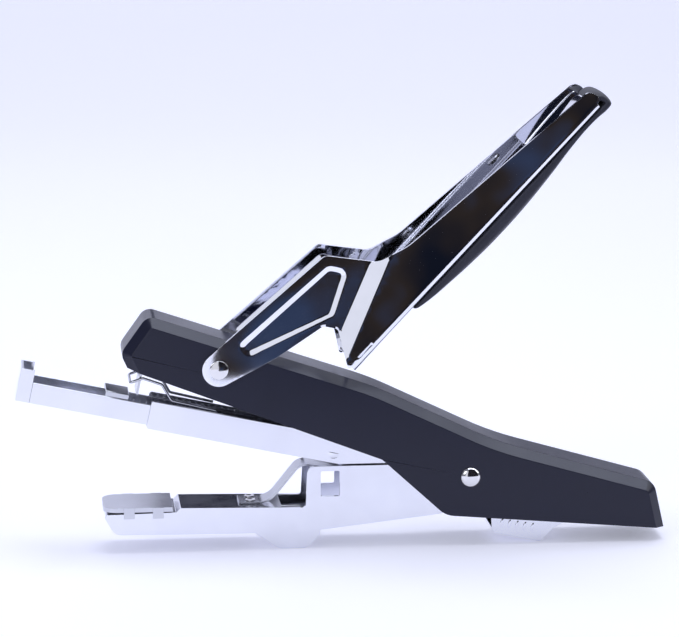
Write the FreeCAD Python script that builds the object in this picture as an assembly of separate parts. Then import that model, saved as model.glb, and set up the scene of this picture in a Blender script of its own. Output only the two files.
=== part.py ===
import FreeCAD, Part
import math
import os
from FreeCAD import Vector

# Hand-held plier stapler, shown open for loading.  Millimetres, +Z up, +X towards the tail,
# Y across.  The origin is on the table, under the middle of the object.

# Pivots, as (x, z)
rear_pivot = (42.2, 23.7)
lever_pivot = (-41.9, 62.2)
latch_pivot = (77.0, 12.0)
magazine_tilt = 12.1

# Wider and taller than any piece, for cuts that go right through
through = 60.0

# Widths over the walls, from the inside outwards
blade_width = 12.4
tray_width = 14.8
channel_width = 16.8
arm_width = 19.6
cover_width = 22.6
lever_front_width = 25.8
lever_rear_width = 28.2

# Sheet thicknesses
tray_sheet = 0.8
channel_sheet = 0.85
arm_sheet = 1.1
cover_sheet = 1.2
lever_sheet = 1.2

# Pins and running clearance
pivot_radius = 2.5
running_gap = 0.05
rivet_dome_radius = 3.4
rivet_dome_height = 1.7
latch_pin_radius = 1.5

# Body cover
cover_bevel = 3.0
cover_top = [(-65.0, 80.1, 4.0), (9.9, 55.0, 100), (51.5, 35.1, 110), (105.3, 19.7, 5)]
cover_underside = [(108.8, 4.2, 0), (33.9, 10.7, 8), (12.4, 30.4, 1.2), (-71.8, 62.8, 0)]
cover_chin = [(-74.0, 67.6, 4.0)]

# Magazine, measured forwards from the rear pivot (u) and square to its axis (h)
channel_front = 109.5
channel_rear_floor = 18.0
channel_low = -4.5
channel_high = 4.8
channel_end_radius = 6.0
tray_front = 153.6
tray_rear = 62.6
tray_low = -3.5
tray_high = 3.4
tray_travel = 36.8
guide_length = 4.6
guide_high = 7.5
exit_slot = 2.4
pusher_rear = 117.0
pusher_length = 8.0
pusher_high = 5.2
stop_place = 100.0
stop_radius = 1.2

# Driver blade
blade_place = 114.6
blade_sheet = 0.7
blade_low = 5.7
blade_high = 28.0

# Coil springs, as solid sleeves of their outer size
pusher_spring_radius = 2.5
latch_spring_radius = 2.4
coil_wall = 0.7

# Lever
lever_end_radius = 5.5
web_foot = (2.2, 60.2)
web_tip = (85.9, 149.4)
joggle_middle = (6.0, 85.5)
joggle_lean = 23.0
joggle_half = 2.7
grip_start = 30.0
tongue_start = 94.0
grip_width = 26.8
tongue_width = 25.2
grip_rivet_places = (44.0, 84.0)


def point(x, z, y=0.0):
    return Vector(x, y, z)


def rounded_wire(points):
    # Closed wire in the XZ plane.  Each point is (x, z, corner radius).
    corners = []
    for i, (x, z, radius) in enumerate(points):
        here = point(x, z)
        back = (point(*points[i - 1][:2]) - here).normalize()
        ahead = (point(*points[(i + 1) % len(points)][:2]) - here).normalize()
        half = back.getAngle(ahead) / 2
        reach = radius / math.tan(half)
        inward = (back + ahead).normalize() if radius else Vector(0, 0, 0)
        bulge = here + inward * (radius / math.sin(half) - radius)
        corners.append((here + back * reach, bulge, here + ahead * reach, radius))
    edges = []
    for i, (start, bulge, end, radius) in enumerate(corners):
        if radius:
            edges.append(Part.Arc(start, bulge, end).toShape())
        following = corners[(i + 1) % len(corners)][0]
        if (following - end).Length > 1e-6:
            edges.append(Part.LineSegment(end, following).toShape())
    return Part.Wire(edges)


def prism(wire, y_low, y_high):
    face = Part.Face(wire)
    face.translate(Vector(0, y_low, 0))
    return face.extrude(Vector(0, y_high - y_low, 0))


def plate(points, y_low, y_high):
    return prism(rounded_wire(points), y_low, y_high)


def across(points, width):
    return plate(points, -width / 2, width / 2)


def plain(points):
    return [(x, z, 0) for x, z in points]


def rod(centre, radius, y_low, y_high):
    return Part.makeCylinder(radius, y_high - y_low, point(*centre, y_low), Vector(0, 1, 0))


def cross_rod(centre, radius, width):
    return rod(centre, radius, -width / 2, width / 2)


def both_sides(shape):
    return shape.fuse(shape.mirror(Vector(0, 0, 0), Vector(0, 1, 0)))


def joined(*shapes):
    return shapes[0].fuse(list(shapes[1:])).removeSplitter()


def on_magazine(shape):
    # Turns a piece drawn level behind the rear pivot into the tilted magazine.
    shape.rotate(point(*rear_pivot), Vector(0, 1, 0), magazine_tilt)
    return shape


def along(u, h):
    # A place u forwards of the rear pivot and h above it, before the magazine is tilted.
    return rear_pivot[0] - u, rear_pivot[1] + h


def bar(u_low, u_high, h_low, h_high, y_low, y_high):
    x, z = along(u_high, h_low)
    return Part.makeBox(u_high - u_low, y_high - y_low, h_high - h_low, point(x, z, y_low))


def wide_bar(u_low, u_high, h_low, h_high, width):
    return bar(u_low, u_high, h_low, h_high, -width / 2, width / 2)


# Body cover

edge_margin = 0.6  # edges nearer than this to the underside stay sharp


def cover_outline(inset):
    wire = rounded_wire(cover_top + cover_underside + cover_chin)
    return wire.makeOffset2D(-inset) if inset else wire


def bevelled_body(inset, bevel):
    # The cover's outer form, or its hollow when inset, bevelled everywhere but underneath.
    half = cover_width / 2 - inset
    solid = prism(cover_outline(inset), -half, half)
    low_run = [point(x, z) for x, z, radius in cover_underside]
    underside = Part.makePolygon(low_run)
    edges = []
    for edge in solid.Edges:
        middle = edge.CenterOfMass
        on_side = abs(abs(middle.y) - half) < 1e-6
        flat = Part.Vertex(middle.x, 0, middle.z)
        if on_side and flat.distToShape(underside)[0] > cover_sheet + edge_margin:
            edges.append(edge)
    return solid.makeChamfer(bevel, edges)


cover_opening = [(-68.6, 70), (12.5, 38), (38, 16), (104.9, 10), (104.9, 0), (30, 4), (10, 22), (-68.6, 55)]
bevel_shrink = 2 - math.sqrt(2)  # how much narrower a 45 degree bevel is, per unit of sheet, on the inside


def make_body_cover():
    hollow = bevelled_body(cover_sheet, cover_bevel - bevel_shrink * cover_sheet)
    shell = bevelled_body(0, cover_bevel).cut(hollow)
    shell = shell.cut(across(plain(cover_opening), cover_width - 2 * cover_sheet))
    for centre in (rear_pivot, lever_pivot):
        shell = shell.cut(cross_rod(centre, pivot_radius, through))
    return shell


bracket_side = [(-67.4, 67.0), (-63.6, 77.6), (-35.0, 68.0), (-35.0, 57.4), (-40.0, 55.8)]
bracket_hollow = [(-62.6, 50), (-62.6, 76.1), (-30, 65.1), (-30, 50)]
bracket_front_cut = [(-80, 60), (-80, 90), (-66.2, 90), (-66.2, 60)]
bracket_width = 15.2
bracket_sheet = 1.1
blade_clearance = 0.35


def make_head_bracket():
    # Steel channel inside the head: carries the blade and the lever pin.
    bracket = across(plain(bracket_side), bracket_width)
    bracket = bracket.cut(across(plain(bracket_hollow), bracket_width - 2 * bracket_sheet))
    bracket = bracket.cut(across(plain(bracket_front_cut), through))
    blade_rear = blade_place - blade_sheet / 2 - blade_clearance
    bracket = bracket.cut(on_magazine(wide_bar(blade_rear, blade_rear + through, 0, through, through)))
    return bracket.cut(cross_rod(lever_pivot, pivot_radius, through))


blade_rivet_reach = 3.2
blade_rivet_height = 24.0
blade_rivet_hole = 1.0
blade_rivet_shank = 0.98
blade_rivet_head = 1.9
blade_rivet_cap = 0.6


def blade_rivet_rod(y, radius, u_front, length):
    # Round rod along X, its front end u_front forwards of the rear pivot.
    x, z = along(u_front, blade_rivet_height)
    return Part.makeCylinder(radius, length, point(x, z, y), Vector(1, 0, 0))


def make_driver_blade():
    half = blade_sheet / 2
    blade = wide_bar(blade_place - half, blade_place + half, blade_low, blade_high, blade_width)
    for y in (-blade_rivet_reach, blade_rivet_reach):
        blade = blade.cut(blade_rivet_rod(y, blade_rivet_hole, blade_place + 1, 2))
    return on_magazine(blade)


def blade_rivet(y):
    face = blade_place + blade_sheet / 2
    cap = blade_rivet_rod(y, blade_rivet_head, face + blade_rivet_cap, blade_rivet_cap)
    shank = blade_rivet_rod(y, blade_rivet_shank, face + blade_rivet_cap / 2, 1.0)
    return shank.fuse(cap)


def make_blade_rivets():
    rivets = [blade_rivet(y) for y in (-blade_rivet_reach, blade_rivet_reach)]
    return on_magazine(Part.makeCompound(rivets))


def dome(centre, y_face, side):
    # Low round rivet head standing on the face at y_face.
    sphere_radius = (rivet_dome_radius ** 2 + rivet_dome_height ** 2) / (2 * rivet_dome_height)
    middle = y_face + side * (rivet_dome_height - sphere_radius)
    ball = Part.makeSphere(sphere_radius, point(*centre, middle))
    low, high = sorted((y_face, y_face + side * rivet_dome_height))
    return ball.common(rod(centre, rivet_dome_radius, low, high))


def make_rear_pivot_rivet():
    rivet = cross_rod(rear_pivot, pivot_radius, cover_width)
    for side in (-1, 1):
        rivet = rivet.fuse(dome(rear_pivot, side * cover_width / 2, side))
    return rivet.removeSplitter()


pin_rounding = 0.5


def make_lever_pivot_pin():
    pin = cross_rod(lever_pivot, pivot_radius, lever_front_width)
    ends = [edge for edge in pin.Edges if edge.Closed and abs(edge.CenterOfMass.y) > cover_width / 2 - 1]
    return pin.makeFillet(pin_rounding, ends)


# Magazine

channel_corner = 0.8


def make_magazine_channel():
    x_rear = rear_pivot[0]
    x_front, z_low = along(channel_front, channel_low)
    z_high = along(0, channel_high)[1]
    wall = [(x_front, z_low, channel_corner), (x_front, z_high, channel_corner),
            (x_rear, z_high, 0), (x_rear, z_low, 0)]
    body = across(wall, channel_width).fuse(cross_rod(rear_pivot, channel_end_radius, channel_width))
    inner = channel_width - 2 * channel_sheet
    floor_top = channel_low + channel_sheet
    body = body.cut(wide_bar(channel_rear_floor, channel_front + 1, floor_top, through, inner))
    body = body.cut(wide_bar(-through, channel_rear_floor, -through, through, inner))
    body = body.cut(cross_rod(rear_pivot, pivot_radius + running_gap, through))
    x, z = along(stop_place, -through / 2)
    body = body.cut(Part.makeCylinder(stop_radius, through, point(x, z)))
    return on_magazine(body)


spacer_radius = 4.0


def make_pivot_spacer():
    outer = cross_rod(rear_pivot, spacer_radius, channel_width - 2 * channel_sheet)
    return outer.cut(cross_rod(rear_pivot, pivot_radius + running_gap, through))


stop_height = 1.9
stop_clearance = 0.3
stop_slot_width = 3.0


def make_tray_stop():
    x, z = along(stop_place, channel_low)
    return on_magazine(Part.makeCylinder(stop_radius, stop_height, point(x, z)))


def make_magazine_tray():
    rear_of_guide = tray_front - guide_length
    tray = wide_bar(tray_rear, rear_of_guide, tray_low, tray_high, tray_width)
    inner = tray_width - 2 * tray_sheet
    floor_top = tray_low + tray_sheet
    tray = tray.cut(wide_bar(tray_rear + tray_sheet, tray_front, floor_top, through, inner))
    slot_rear = stop_place - stop_radius - stop_clearance
    slot_front = stop_place + stop_radius + stop_clearance + tray_travel
    return on_magazine(tray.cut(wide_bar(slot_rear, slot_front, -through, floor_top, stop_slot_width)))


guide_sheet = 0.8
exit_slot_width = 13.0


def make_staple_guide():
    # Open-backed sleeve at the nose, where the blade pushes one staple down and out.
    rear = tray_front - guide_length
    slot_front = tray_front - guide_sheet
    slot_rear = slot_front - exit_slot
    guide = wide_bar(rear, tray_front, tray_low, guide_high, tray_width)
    guide = guide.cut(wide_bar(rear - 1, slot_front, tray_low + tray_sheet, through,
                               tray_width - 2 * tray_sheet))
    return on_magazine(guide.cut(wide_bar(slot_rear, slot_front, -through, 0, exit_slot_width)))


pusher_clearance = 0.15
pusher_sheet = 1.0


def make_staple_pusher():
    front = pusher_rear + pusher_length
    width = tray_width - 2 * tray_sheet - 2 * pusher_clearance
    pusher = wide_bar(pusher_rear, front, tray_low + tray_sheet + pusher_clearance, pusher_high, width)
    hollow = wide_bar(pusher_rear - 1, front - pusher_sheet, -through, pusher_high - pusher_sheet,
                      width - 2 * pusher_sheet)
    return on_magazine(pusher.cut(hollow))


spring_end_gap = 0.2
spring_axis_height = 0.2


def make_pusher_spring():
    start = tray_rear + tray_sheet + spring_end_gap
    length = pusher_rear + pusher_length - pusher_sheet - spring_end_gap - start
    x, z = along(start, spring_axis_height)
    outer = Part.makeCylinder(pusher_spring_radius, length, point(x, z), Vector(-1, 0, 0))
    inner = Part.makeCylinder(pusher_spring_radius - coil_wall, length, point(x, z), Vector(-1, 0, 0))
    return on_magazine(outer.cut(inner))


def wire_along(points, radius):
    # Round wire through the points, with a ball at each bend.
    pieces = []
    for start, end in zip(points, points[1:]):
        pieces.append(Part.makeCylinder(radius, (end - start).Length, start, end - start))
    for bend in points[1:-1]:
        pieces.append(Part.makeSphere(radius, bend))
    return joined(*pieces)


bail_side = [(117.6, 9.4), (113.8, 11.6), (107.2, 10.7), (103.0, 6.0), (88.0, 5.5)]
bail_reach = 7.0
bail_wire_radius = 0.45


def make_magazine_bail():
    # Wire spring that hooks round the blade and runs back along the channel.
    route = [point(*along(u, h), -bail_reach) for u, h in reversed(bail_side)]
    route += [point(*along(u, h), bail_reach) for u, h in bail_side]
    return on_magazine(wire_along(route, bail_wire_radius))


# Anvil arm

arm_side = [(-80.6, 13.4, 1.0), (-56.2, 13.8, 0.5), (-54.8, 15.2, 0.5), (-13.1, 14.4, 1.0),
            (-12.3, 28.3, 2.5), (16.0, 28.3, 6), (38.0, 33.8, 0), (44.5, 13.0, 0),
            (29.1, 10.6, 8), (-11.7, 6.1, 20), (-35.8, 5.9, 0), (-76.6, 6.4, 3.5)]


arm_inside = [(-90, 12.3), (-56.2, 12.7), (-54.8, 14.1), (-21, 13.5), (-21, 50), (70, 50),
              (70, 0), (-90, 0)]
arm_window = [(-8.0, 18.0, 0.6), (-8.0, 26.6, 0.6), (-1.6, 26.6, 0.6), (-1.6, 18.0, 0.6)]
arm_end_radius = 11.0


def make_anvil_arm():
    body = across(arm_side, arm_width).fuse(cross_rod(rear_pivot, arm_end_radius, arm_width))
    body = body.cut(across(plain(arm_inside), arm_width - 2 * arm_sheet))
    body = body.cut(across(arm_window, through))
    return body.cut(cross_rod(rear_pivot, pivot_radius + running_gap, through))


anvil_front = -80.4
anvil_low = 14.1
anvil_length = 23.0
anvil_thickness = 1.6
anvil_corner = 5.0
clinch_reach = 3.3
clinch_radius = 1.0
clinch_length = 5.2
clinch_place = (-72.0, 16.2)
crimp_places = (-73.6, -64.0)
crimp_width = 3.6
crimp_sheet = 0.6
crimp_low = 12.0
crimp_high = 15.7


def make_anvil_plate():
    # Hardened plate crimped over the arm's nose, with two grooves that fold the staple's legs.
    half = arm_width / 2 + 0.2
    top = Part.makeBox(anvil_length, 2 * half, anvil_thickness, Vector(anvil_front, -half, anvil_low))
    corners = [edge for edge in top.Edges
               if edge.CenterOfMass.x < anvil_front + 0.1 and edge.Length < anvil_thickness + 0.1]
    plate_top = top.makeFillet(anvil_corner, corners)
    x, z = clinch_place
    for y in (-clinch_reach, clinch_reach):
        start = Vector(x, y - clinch_length / 2, z)
        plate_top = plate_top.cut(Part.makeCylinder(clinch_radius, clinch_length, start, Vector(0, 1, 0)))
    wall = arm_width / 2 + running_gap
    pieces = [plate_top]
    for x in crimp_places:
        tab = Part.makeBox(crimp_width, crimp_sheet, crimp_high - crimp_low, Vector(x, wall, crimp_low))
        start = Vector(x, -wall - crimp_sheet, crimp_high - 1.0)
        pieces += [both_sides(tab), Part.makeBox(crimp_width, 2 * (wall + crimp_sheet), 1.0, start)]
    return joined(*pieces)


foot_side = [(-30.0, 5.6, 0), (-22.0, 0.0, 5), (-12.4, 0.0, 4), (-8.0, 4.6, 1), (-8.0, 11, 1), (-30.0, 11, 1)]
foot_inside = [(-27.4, 5.6, 0), (-21.0, 1.5, 3), (-13.0, 1.5, 2), (-10, 5.0, 1), (-10, 20, 0),
               (-27.4, 20, 0)]
foot_sheet = 1.5


def make_arm_foot():
    # Steel saddle welded between the arm's walls: the lever's web presses on it.
    width = arm_width - 2 * arm_sheet
    return across(foot_side, width).cut(across(foot_inside, width - 2 * foot_sheet))


leaf_outer = [(-35.0, 15.15, 0), (-25.0, 15.0, 7), (-14.5, 28.0, 5), (-1.0, 25.6, 0)]
leaf_back = [(-1.1, 25.0, 0), (-14.2, 27.3, 4.4), (-24.8, 14.4, 7.6), (-35.0, 14.55, 0)]
leaf_width = 10.0
leaf_lift = 0.45
leaf_rivet_place = -31.0
leaf_rivet_reach = 2.8
leaf_rivet_hole = 1.0
leaf_rivet_shank = 0.98
leaf_rivet_head = 1.7
leaf_low = 14.9
leaf_top = 15.7
leaf_rivet_cap = 0.5


def upright(x, y, z, radius, length):
    return Part.makeCylinder(radius, length, Vector(x, y, z))


def make_arm_leaf_spring():
    spring = across(leaf_outer + leaf_back, leaf_width)
    spring.translate(Vector(0, 0, leaf_lift))
    for y in (-leaf_rivet_reach, leaf_rivet_reach):
        spring = spring.cut(upright(leaf_rivet_place, y, leaf_low - 1, leaf_rivet_hole, 3))
    return spring


def make_leaf_spring_rivets():
    rivets = []
    for y in (-leaf_rivet_reach, leaf_rivet_reach):
        shank = upright(leaf_rivet_place, y, leaf_low, leaf_rivet_shank, leaf_top + 0.3 - leaf_low)
        cap = upright(leaf_rivet_place, y, leaf_top, leaf_rivet_head, leaf_rivet_cap)
        rivets.append(shank.fuse(cap).removeSplitter())
    return Part.makeCompound(rivets)


# Lever

lever_side = [(-45.5, 66.36, 0), (-6.8, 99.8, 3), (10.5, 97.4, 6), (20.5, 102.5, 20), (79.8, 152.9, 2.5),
              (*web_tip, 2), (*web_foot, 0.8), (-2.6, 75.3, 1.5), (-7.4, 76.3, 2), (-22.4, 66.3, 40),
              (-39.36, 57.32, 0)]


def joggle_cut(points):
    # Long prism along the joggle line, drawn as (distance behind the line, y).
    wire = Part.makePolygon([Vector(n, y, 0) for n, y in points + points[:1]])
    block = Part.Face(wire).extrude(Vector(0, 0, 4 * through))
    block.translate(Vector(0, 0, -2 * through))
    block.rotate(Vector(0, 0, 0), Vector(0, 1, 0), joggle_lean)
    block.translate(point(*joggle_middle))
    return block


def lever_wall():
    y_in = lever_front_width / 2 - lever_sheet
    y_mid = lever_front_width / 2
    y_out = lever_rear_width / 2
    wall = plate(lever_side, y_in, y_out).fuse(rod(lever_pivot, lever_end_radius, y_in, y_out))
    far = 3 * through
    outer = [(-far, y_mid), (-joggle_half, y_mid), (joggle_half, y_out), (joggle_half, through),
             (-far, through)]
    inner = [(far, y_mid), (joggle_half, y_mid), (-joggle_half, y_in), (-joggle_half, 0), (far, 0)]
    wall = wall.cut(joggle_cut(outer)).cut(joggle_cut(inner))
    return wall.cut(rod(lever_pivot, pivot_radius + running_gap, 0, through))


def web_point(s, depth):
    # A place s along the web from its foot, depth below its outer face.
    run = Vector(web_tip[0] - web_foot[0], 0, web_tip[1] - web_foot[1]).normalize()
    out = Vector(run.z, 0, -run.x)
    place = point(*web_foot) + run * s + out * depth
    return place.x, place.z


def web_length():
    return math.dist(web_foot, web_tip)


web_end_margin = 1.0
grip_rivet_hole = 1.5
grip_rivet_shank = 1.45
grip_rivet_head = 2.6
grip_rivet_cap = 0.9


def web_rod(s, depth, radius, length):
    # Round rod square to the web, starting at that depth.
    start = point(*web_point(s, depth))
    return Part.makeCylinder(radius, length, start, point(*web_point(s, depth + 1)) - start)


def make_lever_shell():
    overlap = 0.1
    inner = lever_rear_width - 2 * lever_sheet + overlap
    length = web_length()
    web = [web_point(web_end_margin, 0), web_point(length - web_end_margin, 0),
           web_point(length - web_end_margin, -lever_sheet), web_point(web_end_margin, -lever_sheet)]
    shell = both_sides(lever_wall()).fuse(across(plain(web), inner))
    for s in grip_rivet_places:
        shell = shell.cut(web_rod(s, -5, grip_rivet_hole, 10))
    return shell.removeSplitter()


def web_outline(places):
    return [(*web_point(s, depth), radius) for s, depth, radius in places]


def make_lever_grip():
    # Soft moulding on the web's outer face; its tip wraps round into the channel as a tongue.
    end = web_length()
    web_end = end - 0.8
    belly = [(grip_start, 0.05, 0), (grip_start + 1.5, 1.9, 1), (42.0, 4.0, 25), (64.0, 6.3, 45),
             (92.0, 4.6, 60), (110.0, 1.9, 18), (end + 2.6, 4.0, 3.5), (end + 2.9, 0.05, 0)]
    tongue = [(end + 2.9, 0.6, 0), (end + 3.0, -6.0, 3), (end - 1.0, -7.4, 1.5), (tongue_start, -5.0, 1),
              (tongue_start, -lever_sheet - 0.1, 0), (web_end, -lever_sheet - 0.1, 0), (web_end, 0.6, 0)]
    grip = across(web_outline(belly), grip_width)
    return joined(grip, across(web_outline(tongue), tongue_width))


def grip_rivet(s):
    low = -lever_sheet - grip_rivet_cap
    head = web_rod(s, low, grip_rivet_head, grip_rivet_cap)
    shank = web_rod(s, low, grip_rivet_shank, -low)
    return head.fuse(shank).removeSplitter()


def make_grip_rivets():
    return Part.makeCompound([grip_rivet(s) for s in grip_rivet_places])


# Release latch under the tail

latch_side = [(49.9, 11.0, 1.5), (50.2, 3.5, 1.8), (66.6, 0.0, 1.4), (71.0, 4.6, 2), (80.6, 9.4, 2.5),
              (80.6, 14.6, 2.5), (72.0, 14.6, 2)]
latch_inside = [(40, 20), (40, 6.6), (51.4, 4.9), (66.2, 1.5), (70.0, 5.6), (90, 15.0), (90, 20)]
latch_fork = [(74, 5), (74, 20), (90, 20), (90, 5)]
latch_width = 16.0
latch_sheet = 1.2
tail_walls = [(70, 9.4), (70, 20), (90, 20), (90, 9.4)]
tail_hollow = [(60, 0), (60, 18.8), (95, 18.8), (95, 0)]
tail_roof = [(58, 18.8), (58, 20), (71, 20), (71, 18.8)]
tail_width = 19.6
tail_sheet = 1.2
latch_spring_place = (62.5, 3.6)
latch_spring_length = 15.0


def make_release_latch():
    inner = latch_width - 2 * latch_sheet
    latch = across(latch_side, latch_width)
    latch = latch.cut(across(plain(latch_inside), inner))
    latch = latch.cut(across(plain(latch_fork), inner))
    return latch.cut(cross_rod(latch_pivot, latch_pin_radius + running_gap, through))


def make_tail_bracket():
    walls = across(plain(tail_walls), tail_width)
    walls = walls.cut(across(plain(tail_hollow), tail_width - 2 * tail_sheet))
    bracket = joined(walls, across(plain(tail_roof), tail_width))
    return bracket.cut(cross_rod(latch_pivot, latch_pin_radius, through))


def make_latch_pin():
    return cross_rod(latch_pivot, latch_pin_radius, tail_width)


def make_latch_spring():
    x, z = latch_spring_place
    outer = upright(x, 0, z, latch_spring_radius, latch_spring_length)
    return outer.cut(upright(x, 0, z, latch_spring_radius - coil_wall, latch_spring_length))


pieces = {
    "body_cover": make_body_cover,
    "head_bracket": make_head_bracket,
    "driver_blade": make_driver_blade,
    "blade_rivets": make_blade_rivets,
    "rear_pivot_rivet": make_rear_pivot_rivet,
    "lever_pivot_pin": make_lever_pivot_pin,
    "magazine_channel": make_magazine_channel,
    "pivot_spacer": make_pivot_spacer,
    "tray_stop": make_tray_stop,
    "magazine_bail": make_magazine_bail,
    "magazine_tray": make_magazine_tray,
    "staple_guide": make_staple_guide,
    "staple_pusher": make_staple_pusher,
    "pusher_spring": make_pusher_spring,
    "anvil_arm": make_anvil_arm,
    "anvil_plate": make_anvil_plate,
    "arm_foot": make_arm_foot,
    "arm_leaf_spring": make_arm_leaf_spring,
    "leaf_spring_rivets": make_leaf_spring_rivets,
    "lever_shell": make_lever_shell,
    "lever_grip": make_lever_grip,
    "grip_rivets": make_grip_rivets,
    "release_latch": make_release_latch,
    "tail_bracket": make_tail_bracket,
    "latch_pin": make_latch_pin,
    "latch_spring": make_latch_spring,
}


def main():
    os.makedirs("parts", exist_ok=True)
    low = [1e9] * 3
    high = [-1e9] * 3
    for name, make in pieces.items():
        shape = make()
        box = shape.BoundBox
        print(f"{name:20s} solids {len(shape.Solids)} valid {shape.isValid()} volume {shape.Volume:9.1f}")
        low = [min(a, b) for a, b in zip(low, (box.XMin, box.YMin, box.ZMin))]
        high = [max(a, b) for a, b in zip(high, (box.XMax, box.YMax, box.ZMax))]
        shape.exportStep(f"parts/{name}.step")
    print("box from", [round(v, 2) for v in low], "to", [round(v, 2) for v in high])


main()
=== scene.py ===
import math

import bmesh
import bpy
from mathutils import Matrix, Vector
from mathutils.geometry import delaunay_2d_cdt


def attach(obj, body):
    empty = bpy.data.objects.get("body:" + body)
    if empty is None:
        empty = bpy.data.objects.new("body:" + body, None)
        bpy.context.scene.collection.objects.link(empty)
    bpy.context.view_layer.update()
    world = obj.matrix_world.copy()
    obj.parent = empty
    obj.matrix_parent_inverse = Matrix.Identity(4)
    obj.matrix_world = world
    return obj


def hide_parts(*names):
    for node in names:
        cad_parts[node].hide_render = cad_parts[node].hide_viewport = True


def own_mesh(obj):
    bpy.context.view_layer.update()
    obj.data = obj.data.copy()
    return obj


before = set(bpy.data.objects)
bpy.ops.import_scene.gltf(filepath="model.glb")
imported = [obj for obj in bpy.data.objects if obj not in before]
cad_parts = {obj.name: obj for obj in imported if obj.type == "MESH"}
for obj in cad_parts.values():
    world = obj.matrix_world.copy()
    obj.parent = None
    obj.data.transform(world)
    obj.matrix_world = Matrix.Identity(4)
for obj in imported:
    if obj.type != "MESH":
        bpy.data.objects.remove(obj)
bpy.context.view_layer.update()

mm = 0.001
print("frame loaded:", len(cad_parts), "nodes")

# Places shared by several pieces, in millimetres as (x, z)
rearPivot = (42.2, 23.7)
leverPivot = (-41.9, 62.2)
magazineTilt = math.radians(12.1)


# Camera

cameraPlan = {"place": (-0.1035, -0.9779, 0.2586), "aim": (-0.0007, 0.0, 0.0764), "lens": 159.06}


def addCamera(plan):
    lens = bpy.data.cameras.new("camera")
    lens.lens = plan["lens"]
    lens.clip_start, lens.clip_end = 0.05, 20
    camera = bpy.data.objects.new("camera", lens)
    bpy.context.collection.objects.link(camera)
    camera.location = plan["place"]
    look = Vector(plan["aim"]) - Vector(plan["place"])
    camera.rotation_euler = look.to_track_quat("-Z", "Y").to_euler()
    bpy.context.scene.camera = camera


addCamera(cameraPlan)
print("camera set")


# Material helpers

def newMaterial(name):
    material = bpy.data.materials.new(name)
    material.use_nodes = True
    tree = material.node_tree
    return material, tree, tree.nodes["Principled BSDF"]


def setShader(shader, values):
    for socket, value in values.items():
        shader.inputs[socket].default_value = value


def objectPattern(tree, stretch=(1, 1, 1), turn=(0, 0, 0)):
    place = tree.nodes.new("ShaderNodeTexCoord")
    mapping = tree.nodes.new("ShaderNodeMapping")
    mapping.inputs["Scale"].default_value = stretch
    mapping.inputs["Rotation"].default_value = turn
    tree.links.new(place.outputs["Object"], mapping.inputs["Vector"])
    return mapping.outputs["Vector"]


def noise(tree, vector, scale, detail=3, roughness=0.5):
    node = tree.nodes.new("ShaderNodeTexNoise")
    node.inputs["Scale"].default_value = scale
    node.inputs["Detail"].default_value = detail
    node.inputs["Roughness"].default_value = roughness
    tree.links.new(vector, node.inputs["Vector"])
    return node.outputs["Fac"]


def spread(tree, value, fromLow, fromHigh, toLow, toHigh):
    node = tree.nodes.new("ShaderNodeMapRange")
    limits = {"From Min": fromLow, "From Max": fromHigh, "To Min": toLow, "To Max": toHigh}
    setShader(node, limits)
    tree.links.new(value, node.inputs["Value"])
    return node.outputs["Result"]


def tint(tree, value, stops):
    node = tree.nodes.new("ShaderNodeValToRGB")
    ramp = node.color_ramp
    while len(ramp.elements) < len(stops):
        ramp.elements.new(0.5)
    for element, (place, colour) in zip(ramp.elements, stops):
        element.position = place
        element.color = (*colour, 1)
    tree.links.new(value, node.inputs["Fac"])
    return node.outputs["Color"]


def bump(tree, value, height, strength, under=None):
    node = tree.nodes.new("ShaderNodeBump")
    node.inputs["Distance"].default_value = height
    node.inputs["Strength"].default_value = strength
    tree.links.new(value, node.inputs["Height"])
    if under:
        tree.links.new(under, node.inputs["Normal"])
    return node.outputs["Normal"]


# Painted and moulded finishes

enamelLook = {
    "Specular IOR Level": 0.38, "Coat Weight": 0.1, "Coat Roughness": 0.15,
}


def blackEnamel():
    # Stoved satin enamel: a fine orange peel, a little dust and faint rubbing.
    material, tree, shader = newMaterial("blackEnamel")
    setShader(shader, enamelLook)
    peel = noise(tree, objectPattern(tree), 900, 2)
    cloud = noise(tree, objectPattern(tree), 45, 5, 0.6)
    rub = noise(tree, objectPattern(tree, (1, 1, 7), (0, 0.32, 0)), 260, 4, 0.7)
    stops = [(0.35, (0.0022, 0.0034, 0.0205)), (0.7, (0.0038, 0.0054, 0.0255))]
    tree.links.new(tint(tree, cloud, stops), shader.inputs["Base Color"])
    rough = tree.nodes.new("ShaderNodeMath")
    rough.operation = "ADD"
    tree.links.new(spread(tree, cloud, 0.3, 0.7, 0.27, 0.34), rough.inputs[0])
    tree.links.new(spread(tree, rub, 0.55, 0.8, 0.0, 0.06), rough.inputs[1])
    tree.links.new(rough.outputs[0], shader.inputs["Roughness"])
    tree.links.new(bump(tree, peel, 0.00004, 0.35), shader.inputs["Normal"])
    return material


gripLook = {"Specular IOR Level": 0.4, "Sheen Weight": 0.12, "Sheen Roughness": 0.4}


def blackGrip():
    # Soft-touch moulding with a fine spark-eroded grain.
    material, tree, shader = newMaterial("blackGrip")
    setShader(shader, gripLook)
    grain = noise(tree, objectPattern(tree), 2600, 3, 0.6)
    cloud = noise(tree, objectPattern(tree), 70, 4)
    tree.links.new(tint(tree, cloud, [(0.3, (0.022, 0.023, 0.038)), (0.75, (0.031, 0.033, 0.052))]),
                   shader.inputs["Base Color"])
    tree.links.new(spread(tree, cloud, 0.3, 0.7, 0.48, 0.6), shader.inputs["Roughness"])
    tree.links.new(bump(tree, grain, 0.00006, 0.5), shader.inputs["Normal"])
    return material


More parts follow.
